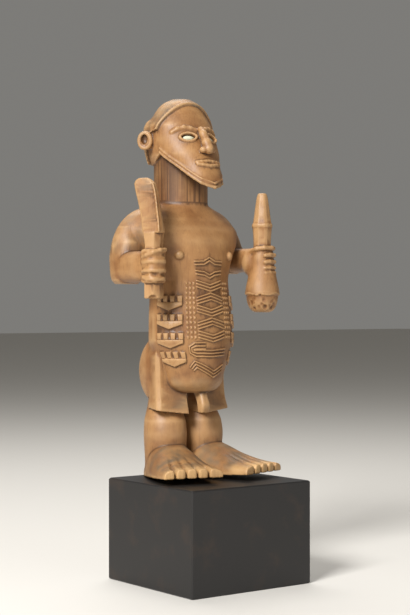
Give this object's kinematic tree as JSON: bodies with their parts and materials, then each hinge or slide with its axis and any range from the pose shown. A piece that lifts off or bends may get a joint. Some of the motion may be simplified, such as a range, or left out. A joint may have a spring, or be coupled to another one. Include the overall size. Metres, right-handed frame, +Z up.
{
  "type": "bembe figure",
  "caption": "Carved wooden standing figure in the style of the Bembe of the Congo, holding a knife and a flask, with raised marks on the belly, on a black wooden block.",
  "frame": {"origin": "middle of the block's underside", "axes": "+Z up through the figure, -Y the way that the figure faces, -X its right hand"},
  "size_m": [0.0764, 0.0741, 0.2289],
  "materials": {
    "carved_wood": "oiled and worn",
    "eye_inlay": "opaque glazed china",
    "black_wood": "stained satin"
  },
  "bodies": {
    "root": {"figure": "carved_wood", "eye_inlay_right": "eye_inlay", "eye_inlay_left": "eye_inlay", "plinth": "black_wood"}
  },
  "joints": []
}
